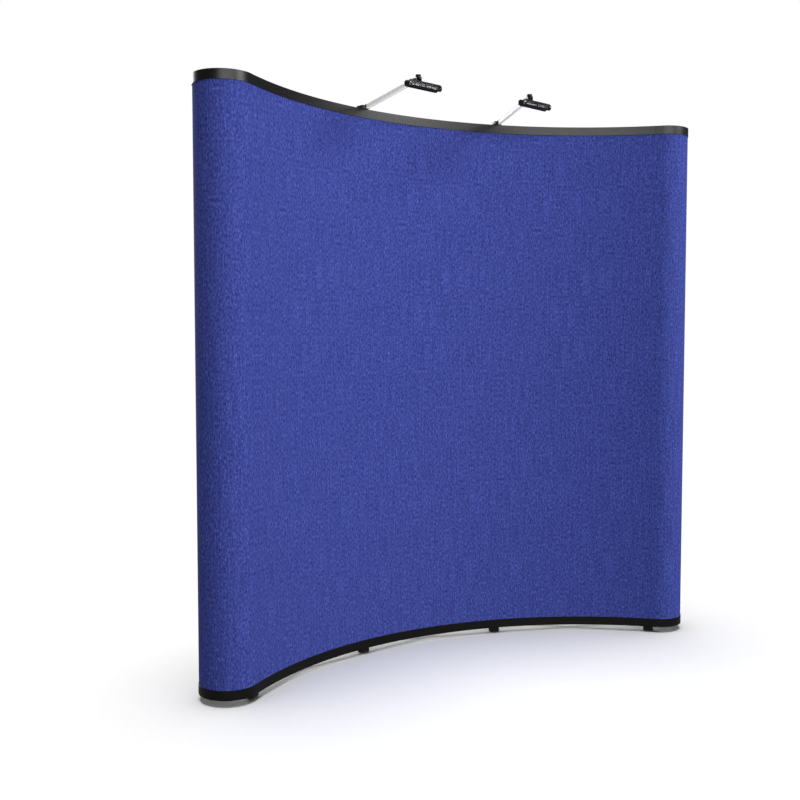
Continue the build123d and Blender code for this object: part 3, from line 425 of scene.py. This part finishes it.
# shapes for what repeats
def ringPoints(radius, count, centre=(0.0, 0.0)):
    angles = [2 * pi * k / count for k in range(count)]
    return [(centre[0] + radius * cos(a), centre[1] + radius * sin(a)) for a in angles]


def plate(outlines, low, high, edge=0.0):    # flat shape with holes in the XY plane, between two heights
    curve = bpy.data.curves.new("plate", "CURVE")
    curve.dimensions = "2D"
    curve.fill_mode = "BOTH"
    curve.extrude = (high - low) / 2
    for outline in outlines:
        spline = curve.splines.new("POLY")
        spline.points.add(len(outline) - 1)
        for point, (x, y) in zip(spline.points, outline):
            point.co = (x, y, 0, 1)
        spline.use_cyclic_u = True
    holder = bpy.data.objects.new("plate", curve)
    bpy.context.scene.collection.objects.link(holder)
    mesh = bpy.data.meshes.new_from_object(holder.evaluated_get(bpy.context.evaluated_depsgraph_get()))
    bpy.data.objects.remove(holder)
    form = bmesh.new()
    form.from_mesh(mesh)
    bmesh.ops.remove_doubles(form, verts=form.verts, dist=0.000001)
    bmesh.ops.dissolve_limit(form, angle_limit=radians(1), verts=form.verts, edges=form.edges)
    bmesh.ops.translate(form, vec=(0, 0, (high + low) / 2), verts=form.verts)
    if edge:
        rims = [e for e in form.edges if len(e.link_faces) == 2 and e.calc_face_angle() > radians(50)
                and abs(e.verts[0].co.z - e.verts[1].co.z) < 1e-7]
        bmesh.ops.bevel(form, geom=rims, offset=edge, segments=1, affect="EDGES", clamp_overlap=True)
    bmesh.ops.recalc_face_normals(form, faces=form.faces)
    return meshFrom(form)


def lathe(profile, sides):                   # closed shape turned round Z, from radii and heights
    form = bmesh.new()
    rings = []
    for radius, height in profile:
        if radius < 1e-6:
            rings.append([form.verts.new((0, 0, height))])
        else:
            rings.append([form.verts.new((x, y, height)) for x, y in ringPoints(radius, sides)])
    for lower, upper in zip(rings, rings[1:]):
        for k in range(sides):
            j = (k + 1) % sides
            corners = [ring[i % len(ring)] for ring, i in ((lower, k), (lower, j), (upper, j), (upper, k))]
            form.faces.new(list(dict.fromkeys(corners)))
    for ring in (rings[0], rings[-1]):
        if len(ring) > 1:
            form.faces.new(ring)
    bmesh.ops.recalc_face_normals(form, faces=form.faces)
    return meshFrom(form)


def joined(parts):                           # several meshes, each with its place, as one
    form = bmesh.new()
    for mesh, place in parts:
        mesh.transform(place)
        form.from_mesh(mesh)
    return meshFrom(form)


facingFront = Matrix.Rotation(pi / 2, 4, "X")            # a shape's Z turned towards the viewer


# Geometry Nodes that repeat a piece, and that draw tubes along lines
def newTree(name, inputs):
    tree = bpy.data.node_groups.new(name, "GeometryNodeTree")
    for label, kind in inputs:
        tree.interface.new_socket(label, in_out="INPUT", socket_type="NodeSocket" + kind)
    tree.interface.new_socket("Result", in_out="OUTPUT", socket_type="NodeSocketGeometry")
    return tree, addNode(tree, "NodeGroupInput").outputs, addNode(tree, "NodeGroupOutput").inputs


def makeRepeatTree():
    tree, given, result = newTree("repeatPiece", [
        ("Places", "Geometry"), ("Piece", "Object"), ("Size", "Float"), ("Finish", "Material")])
    piece = addNode(tree, "GeometryNodeObjectInfo", {"As Instance": True})
    turns = addNode(tree, "GeometryNodeInputNamedAttribute", {"Name": "turn"}, data_type="FLOAT_VECTOR")
    rotation = addNode(tree, "FunctionNodeEulerToRotation")
    copies = addNode(tree, "GeometryNodeInstanceOnPoints")
    real = addNode(tree, "GeometryNodeRealizeInstances")
    paint = addNode(tree, "GeometryNodeSetMaterial")
    for start, end in ((given["Piece"], piece.inputs["Object"]), (given["Places"], copies.inputs["Points"]),
                       (piece.outputs["Geometry"], copies.inputs["Instance"]),
                       (turns.outputs["Attribute"], rotation.inputs["Euler"]),
                       (rotation.outputs["Rotation"], copies.inputs["Rotation"]),
                       (given["Size"], copies.inputs["Scale"]),
                       (copies.outputs["Instances"], real.inputs["Geometry"]),
                       (real.outputs["Geometry"], paint.inputs["Geometry"]),
                       (given["Finish"], paint.inputs["Material"]),
                       (paint.outputs["Geometry"], result["Result"])):
        tree.links.new(start, end)
    return tree


def makeTubeTree():
    tree, given, result = newTree("tubesAlongLines", [
        ("Lines", "Geometry"), ("Radius", "Float"), ("Wall", "Float"), ("Sides", "Int"), ("Finish", "Material")])
    curve = addNode(tree, "GeometryNodeMeshToCurve")
    inside = addNode(tree, "ShaderNodeMath", operation="SUBTRACT")
    join = addNode(tree, "GeometryNodeJoinGeometry")
    links = [(given["Lines"], curve.inputs["Mesh"]), (given["Radius"], inside.inputs[0]),
             (given["Wall"], inside.inputs[1])]
    for radius, flipped in ((given["Radius"], False), (inside.outputs[0], True)):
        circle = addNode(tree, "GeometryNodeCurvePrimitiveCircle", mode="RADIUS")
        skin = addNode(tree, "GeometryNodeCurveToMesh")
        links += [(radius, circle.inputs["Radius"]), (given["Sides"], circle.inputs["Resolution"]),
                  (curve.outputs["Curve"], skin.inputs["Curve"]),
                  (circle.outputs["Curve"], skin.inputs["Profile Curve"])]
        out = skin.outputs["Mesh"]
        if flipped:
            flip = addNode(tree, "GeometryNodeFlipFaces")
            links.append((out, flip.inputs["Mesh"]))
            out = flip.outputs["Mesh"]
        links.append((out, join.inputs["Geometry"]))
    real = addNode(tree, "GeometryNodeRealizeInstances")
    paint = addNode(tree, "GeometryNodeSetMaterial")
    links += [(join.outputs["Geometry"], real.inputs["Geometry"]),
              (real.outputs["Geometry"], paint.inputs["Geometry"]),
              (given["Finish"], paint.inputs["Material"]), (paint.outputs["Geometry"], result["Result"])]
    for start, end in links:
        tree.links.new(start, end)
    return tree


repeatTree = makeRepeatTree()
tubeTree = makeTubeTree()


def runTree(carrier, tree, values):          # what the nodes make, as a plain mesh
    holder = bpy.data.objects.new("carrier", carrier)
    bpy.context.scene.collection.objects.link(holder)
    modifier = holder.modifiers.new("made", "NODES")
    modifier.node_group = tree
    for item in tree.interface.items_tree:
        if item.name in values:
            modifier[item.identifier] = values[item.name]
    mesh = bpy.data.meshes.new_from_object(holder.evaluated_get(bpy.context.evaluated_depsgraph_get()))
    holder.modifiers.remove(modifier)
    bpy.data.objects.remove(holder)
    return mesh


def repeatPiece(node, shape, places, sharp=35):
    carrier = bpy.data.meshes.new("places")
    carrier.from_pydata([place.translation for place in places], [], [])
    turns = carrier.attributes.new("turn", "FLOAT_VECTOR", "POINT")
    turns.data.foreach_set("vector", [angle for place in places for angle in place.to_euler("XYZ")])
    source = bpy.data.objects.new("source", shape)
    bpy.context.scene.collection.objects.link(source)
    mesh = runTree(carrier, repeatTree, {"Piece": source, "Size": 1.0, "Finish": looks[slots[node]]})
    bpy.data.objects.remove(source)
    return addPiece(node, mesh, sharp)


# the folding frame
hub = dict(
    radius=0.030,
    half=0.011,                              # thickness of one half
    edge=0.0008,
    pivot=0.020,                             # from the hub's middle out to an arm's pin
    armShift=0.0075,
    slotHalf=0.0032,
    slotInner=0.013,
    stalkHole=0.00605,
    buttonHole=0.00915,
    buttonDepth=0.002,
    screwPlace=0.015,
    screwHole=0.0016,
    screwHead=0.00275,
    screwRoom=0.0001,                        # clearance round a screw's head
    screwSunk=0.0003,                        # screw's top below the hub's face
    screwDepth=0.0027,
    screwEdge=0.0003,
    hexRadius=0.00125,
    hexDepth=0.0018,
)
tube = dict(radius=0.0065, wall=0.0012, setback=0.020, sides=28)
fitting = dict(
    tongueWidth=0.012,
    tongue=0.006,                            # thickness
    tongueEdge=0.0005,
    collar=0.004,
    plugEnd=0.012,                           # how far its plug reaches into the tube
    pinHole=0.00205,
)


def hubFrame(column, row, back):
    angle = wall["columns"][column]
    depth = wall["backHubs"] if back else wall["frontHubs"]
    turn = radians(-angle) + (pi if back else 0.0)
    return Matrix.Translation(arcPlace(angle, depth, wall["rows"][row])) @ Matrix.Rotation(turn, 4, "Z")


allHubs = [hubFrame(column, row, back) for column in range(4) for row in range(4) for back in (False, True)]


def hubOutline():                            # a disc with four slots for the arms
    points = []
    rim = asin((hub["armShift"] + hub["slotHalf"]) / hub["radius"])
    lowRim = asin((hub["armShift"] - hub["slotHalf"]) / hub["radius"])
    for quarter in range(4):
        turn = Matrix.Rotation(quarter * pi / 2, 2)
        start, end = rim, lowRim + pi / 2
        corner = [(hub["slotInner"], hub["armShift"] + side * hub["slotHalf"]) for side in (-1, 1)]
        angles = [start + (end - start) * k / 12 for k in range(13)]
        arc = [(hub["radius"] * cos(a), hub["radius"] * sin(a)) for a in angles]
        points += [tuple(turn @ Vector(p)) for p in corner + arc]
    return points


def hubHalf(outer):
    screwRadius = hub["screwHole"] if outer else hub["screwHead"] + hub["screwRoom"]
    screwHoles = [ringPoints(screwRadius, 14, (s * hub["screwPlace"], -s * hub["screwPlace"])) for s in (1, -1)]
    half, recess = hub["half"], hub["buttonDepth"]
    if outer:
        layers = [(hub["buttonHole"], half - recess, half), (hub["stalkHole"], 0.0, half - recess)]
    else:
        layers = [(hub["stalkHole"], -half, 0.0)]
    parts = []
    for hole, low, high in layers:
        edge = hub["edge"] if high == half or low == -half else 0.0
        parts.append((plate([hubOutline(), ringPoints(hole, 28)] + screwHoles, low, high, edge), facingFront))
    return joined(parts)


repeatPiece("hub_outer_halves", hubHalf(True), allHubs)
repeatPiece("hub_inner_halves", hubHalf(False), allHubs)

screwSeat = Matrix.Translation((0, hub["half"] - hub["screwSunk"], 0)) @ Matrix.Rotation(-pi / 2, 4, "X")
screwRim = plate([ringPoints(hub["screwHead"], 16), ringPoints(hub["hexRadius"], 6)],
                 -hub["hexDepth"], 0.0, hub["screwEdge"])
screwFloor = plate([ringPoints(hub["screwHead"], 16)], -hub["screwDepth"], -hub["hexDepth"])
screwShape = joined([(screwRim, screwSeat), (screwFloor, screwSeat)])
screwShifts = [Matrix.Translation((s * hub["screwPlace"], 0, -s * hub["screwPlace"])) for s in (1, -1)]
repeatPiece("hub_screws", screwShape, [place @ shift for place in allHubs for shift in screwShifts])


def pivotOf(place, quarter):
    return place @ Matrix.Rotation(-quarter * pi / 2, 4, "Y") @ Vector((hub["pivot"], 0, hub["armShift"]))


def latticeLines():                          # pivots of each tube and the way its pins lie
    rowLines, columnLines = [], []
    for column in range(3):
        for row in range(4):
            for a, b, quarter in ((column, column + 1, 0), (column + 1, column, 2)):
                start, end = pivotOf(hubFrame(a, row, False), quarter), pivotOf(hubFrame(b, row, True), quarter)
                rowLines.append((start, end, Vector((0, 0, 1))))
    for column, angle in enumerate(wall["columns"]):
        along = Vector((cos(radians(angle)), -sin(radians(angle)), 0))
        for row in range(3):
            for a, b, up, down in ((row, row + 1, 1, 3), (row + 1, row, 3, 1)):
                start, end = pivotOf(hubFrame(column, a, False), up), pivotOf(hubFrame(column, b, True), down)
                columnLines.append((start, end, along))
    return rowLines, columnLines


def endPlaces(lines):                        # both ends of each tube: X along the tube, Z along the pins
    places = []
    for start, end, pins in lines:
        for here, there in ((start, end), (end, start)):
            along = (there - here).normalized()
            side = pins.cross(along)
            places.append(Matrix.Translation(here) @ Matrix((along, side, pins)).transposed().to_4x4())
    return places


def drawTubes(node, lines):
    carrier = bpy.data.meshes.new("lines")
    points, edges = [], []
    for start, end, pins in lines:
        inset = (end - start).normalized() * tube["setback"]
        edges.append((len(points), len(points) + 1))
        points += [start + inset, end - inset]
    carrier.from_pydata(points, edges, [])
    values = {"Radius": tube["radius"], "Wall": tube["wall"], "Sides": tube["sides"],
              "Finish": looks[slots[node]]}
    return addPiece(node, runTree(carrier, tubeTree, values))


rowLines, columnLines = latticeLines()
drawTubes("row_tubes", rowLines)
drawTubes("column_tubes", columnLines)

noseRadius = fitting["tongueWidth"] / 2
tongueOutline = [(noseRadius * cos(a), noseRadius * sin(a)) for a in (pi / 2 + pi * k / 8 for k in range(9))]
collarStart = tube["setback"] - fitting["collar"]
tongueOutline += [(collarStart, -noseRadius), (collarStart, noseRadius)]
tongueShape = plate([tongueOutline, ringPoints(fitting["pinHole"], 12)],
                    -fitting["tongue"] / 2, fitting["tongue"] / 2, fitting["tongueEdge"])
outside, inside, rounding = tube["radius"], tube["radius"] - tube["wall"], 0.0005
collarProfile = [(0, 0), (outside - rounding, 0), (outside, rounding), (outside, fitting["collar"]),
                 (inside, fitting["collar"]), (inside, fitting["plugEnd"]), (0, fitting["plugEnd"])]
collarPlace = Matrix.Translation((collarStart, 0, 0)) @ Matrix.Rotation(pi / 2, 4, "Y")
fittingShape = joined([(tongueShape, Matrix()), (lathe(collarProfile, 20), collarPlace)])
repeatPiece("tube_end_fittings", fittingShape, endPlaces(rowLines + columnLines))

for node in ("hub_pins", "crossing_rivets", "lock_stalks", "frame_magnets", "feet", "light_sockets",
             "channel_bars", "bar_fittings", "bar_strips", "panel_pegs"):
    addPiece(node, mergedCopy(node))
print("frame made")


# the arm lights
head = dict(
    length=0.172,
    height=0.026,
    depth=0.036,
    forward=0.027,                           # its middle ahead of the swivel axis
    drop=0.0325,                             # and below the arm's tip
    windowLength=0.142,
    windowHeight=0.015,
    windowCorner=0.0070,
    windowBevel=0.0006,
    windowLip=0.0008,                        # depth of that bevel behind the front face
    wallThickness=0.003,
    innerCorner=0.010,
    outerCorner=0.0125,
    frontRound=0.0044,
    rearRound=0.0100,
    dividerHalf=0.0016,                      # half width of the bar across the middle of the window
    dividerFront=0.0006,
    dividerBack=0.0024,
    screwPlace=0.0780,
    earInner=0.0273,
    earWidth=0.004,
    earRadius=0.007,
    earEdge=0.0006,
    tiltForward=0.004,
    tiltDrop=0.020,
)


def roundedLoop(halfLength, halfHeight, corner, depth, cornerSteps=8):
    corner = min(corner, halfHeight - 0.0001)
    points = []
    for quarter, (sx, sz) in enumerate(((1, 1), (-1, 1), (-1, -1), (1, -1))):
        centre = (sx * (halfLength - corner), sz * (halfHeight - corner))
        for k in range(cornerSteps + 1):
            a = quarter * pi / 2 + pi / 2 * k / cornerSteps
            points.append(Vector((centre[0] + corner * cos(a), depth, centre[1] + corner * sin(a))))
    return points


def loft(loops):                             # closed at both ends
    form = bmesh.new()
    rings = [[form.verts.new(p) for p in loop] for loop in loops]
    count = len(rings[0])
    for lower, upper in zip(rings, rings[1:]):
        for k in range(count):
            form.faces.new((lower[k], lower[(k + 1) % count], upper[(k + 1) % count], upper[k]))
    form.faces.new(rings[0])
    form.faces.new(rings[-1])
    bmesh.ops.recalc_face_normals(form, faces=form.faces)
    return meshFrom(form)


def housingShape():
    half, high, deep = head["length"] / 2, head["height"] / 2, head["depth"] / 2
    window, opening = head["windowLength"] / 2, head["windowHeight"] / 2
    thick, bevel, corner = head["wallThickness"], head["windowBevel"], head["windowCorner"]
    loops = [                                # from the inside of the back, out through the window
        (half - thick, high - thick, head["innerCorner"], deep - thick),
        (half - thick, high - thick, head["innerCorner"], thick - deep),
        (window, opening, corner, thick - deep),
        (window, opening, corner, head["windowLip"] - deep),
        (window + bevel, opening + bevel, corner + bevel, -deep),
    ]
    for radius, side in ((head["frontRound"], -1), (head["rearRound"], 1)):
        for turn in [pi / 2 * k / 6 for k in range(7)][::-side]:
            inset = radius * (1 - cos(turn))
            place = side * (deep - radius * (1 - sin(turn)))
            loops.append((half - inset, high - inset, head["outerCorner"], place))
    shell = loft([roundedLoop(*loop) for loop in loops])
    middle = Matrix.Translation((0, -head["forward"], -head["drop"]))
    divider = loft([roundedLoop(head["dividerHalf"], opening + bevel, bevel, depth - deep, 2)
                    for depth in (head["dividerFront"], head["dividerBack"])])
    parts = [(shell, middle), (divider, middle)]
    radius, width, edge = head["earRadius"], head["earWidth"], head["earEdge"]
    for start in (head["earInner"], -head["earInner"] - width):
        ear = lathe([(radius - edge, 0), (radius, edge), (radius, width - edge), (radius - edge, width)], 28)
        place = Matrix.Translation((start, -head["tiltForward"], -head["tiltDrop"]))
        parts.append((ear, place @ Matrix.Rotation(pi / 2, 4, "Y")))
    return joined(parts)


def tipFrame(side):                          # X along the tilt axis, origin on the swivel axis
    origin = Vector(joints[side + "_head_swivel"]["pos_m"])
    along = Vector(joints[side + "_head_tilt"]["axis"])
    away = Vector((0, 0, 1)).cross(along)
    return Matrix.Translation(origin) @ Matrix((along, away, Vector((0, 0, 1)))).transposed().to_4x4()


def addEndScrews(side):                      # a domed screw on the front at each end of the head
    profile = [(0.0, 0.0016), (0.0008, 0.0015), (0.0016, 0.0011), (0.0021, 0.0004), (0.0022, -0.0006),
               (0.0, -0.0006)]
    place = tipFrame(side) @ Matrix.Translation((0, -head["forward"] - head["depth"] / 2, -head["drop"]))
    mesh = joined([(lathe(profile, 20), place @ Matrix.Translation((x, 0, 0)) @ facingFront)
                   for x in (-head["screwPlace"], head["screwPlace"])])
    finished(side + "EndScrews", mesh, side + "_head", "plated_steel", 40)


for side in ("left", "right"):
    housing = housingShape()
    housing.transform(tipFrame(side))
    addPiece(side + "_head_housing", housing, 40)
    addEndScrews(side)
    for part in ("light_peg", "clip_block", "arm_tube", "arm_tip", "swivel_knob", "knuckle", "tilt_bolt",
                 "reflector", "lamp", "lamp_holders", "front_glass"):
        addPiece(f"{side}_{part}", mergedCopy(f"{side}_{part}"), 30)
print("arm lights made")


# floor, lights and camera
floorHalf = 30.0
floorMesh = bpy.data.meshes.new("studioFloor")
floorMesh.from_pydata([(x * floorHalf, y * floorHalf, 0) for x, y in ((-1, -1), (1, -1), (1, 1), (-1, 1))],
                      [], [(0, 1, 2, 3)])
floor = bpy.data.objects.new("studioFloor", floorMesh)
bpy.context.scene.collection.objects.link(floor)
paleLook = dict(colour=(0.92, 0.92, 0.92), rough=0.9, grain=0.01, spread=0.01, bump=0.02)
floorMesh.materials.append(finish("paleFloor", paleLook))
floor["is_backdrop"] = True
floor.visible_diffuse = False                # its brightness stays off the wall
floor.visible_glossy = False

studio = dict(surround=0.15, overheadStrength=3.2, overheadSoftness=40.0)
softboxes = {                                # watts and metres; heading is to the right of straight ahead
    "headerSoftbox": dict(power=345.0, width=8.0, tall=1.6, heading=-12.0, height=3.7, reach=8.0, aim=1.6),
    "keySoftbox": dict(power=690.0, width=5.0, tall=3.0, heading=42.0, height=6.2, reach=9.0, aim=1.1),
    "backSoftbox": dict(power=520.0, width=8.0, tall=3.0, heading=188.0, height=3.6, reach=8.0, aim=1.1),
    "armSoftbox": dict(power=260.0, width=2.0, tall=1.6, heading=-14.0, height=0.4, reach=2.6, aim=2.25),
}
world = bpy.data.worlds.new("studio")
bpy.context.scene.world = world
world.use_nodes = True
worldTree = world.node_tree
seen = addNode(worldTree, "ShaderNodeLightPath")
glow = worldTree.nodes["Background"]
glow.inputs["Color"].default_value = (1, 1, 1, 1)
strength = addNode(worldTree, "ShaderNodeMapRange", {"To Min": studio["surround"], "To Max": 1.0})
worldTree.links.new(seen.outputs["Is Camera Ray"], strength.inputs["Value"])
worldTree.links.new(strength.outputs["Result"], glow.inputs["Strength"])

overheadData = bpy.data.lights.new("overhead", "SUN")
overheadData.energy = studio["overheadStrength"]
overheadData.angle = radians(studio["overheadSoftness"])
overhead = bpy.data.objects.new("overhead", overheadData)
bpy.context.scene.collection.objects.link(overhead)


def isArmLight(piece):
    onSide = piece.name.startswith(("left", "right"))
    return onSide and not piece.name.startswith(("leftPanel", "rightPanel", "leftCap", "rightCap"))


litPieces = {name: bpy.data.collections.new(name + "Pieces") for name in softboxes}
for piece in bpy.context.scene.objects:      # a softbox never lights the floor, which stays even
    if piece.type == "MESH" and piece is not floor:
        for name, pieces in litPieces.items():
            if name != "armSoftbox" or isArmLight(piece):
                pieces.objects.link(piece)
for name, box in softboxes.items():
    data = bpy.data.lights.new(name, "AREA")
    data.energy = box["power"]
    data.shape = "RECTANGLE"
    data.size = box["width"]
    data.size_y = box["tall"]
    lamp = bpy.data.objects.new(name, data)
    bpy.context.scene.collection.objects.link(lamp)
    lamp.light_linking.receiver_collection = litPieces[name]
    turn = radians(box["heading"])
    lamp.location = (box["reach"] * sin(turn), -box["reach"] * cos(turn), box["height"])
    lamp.rotation_euler = (Vector((0, 0, box["aim"])) - lamp.location).to_track_quat("-Z", "Y").to_euler()

viewpoint = dict(across=-2.175, away=-3.8245, height=1.3003, heading=27.775, dip=3.317, lens=46.28)
cameraData = bpy.data.cameras.new("camera")
cameraData.lens = viewpoint["lens"]
cameraData.sensor_width = 36
camera = bpy.data.objects.new("camera", cameraData)
bpy.context.scene.collection.objects.link(camera)
arcMiddle = arcPlace(0, 0)                   # the viewpoint is counted from here
camera.location = arcMiddle + Vector((viewpoint["across"], viewpoint["away"], viewpoint["height"]))
camera.rotation_euler = (radians(90 - viewpoint["dip"]), 0, radians(-viewpoint["heading"]))
bpy.context.scene.camera = camera
bpy.context.scene.view_settings.view_transform = "Standard"
print("studio set")

low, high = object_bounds()
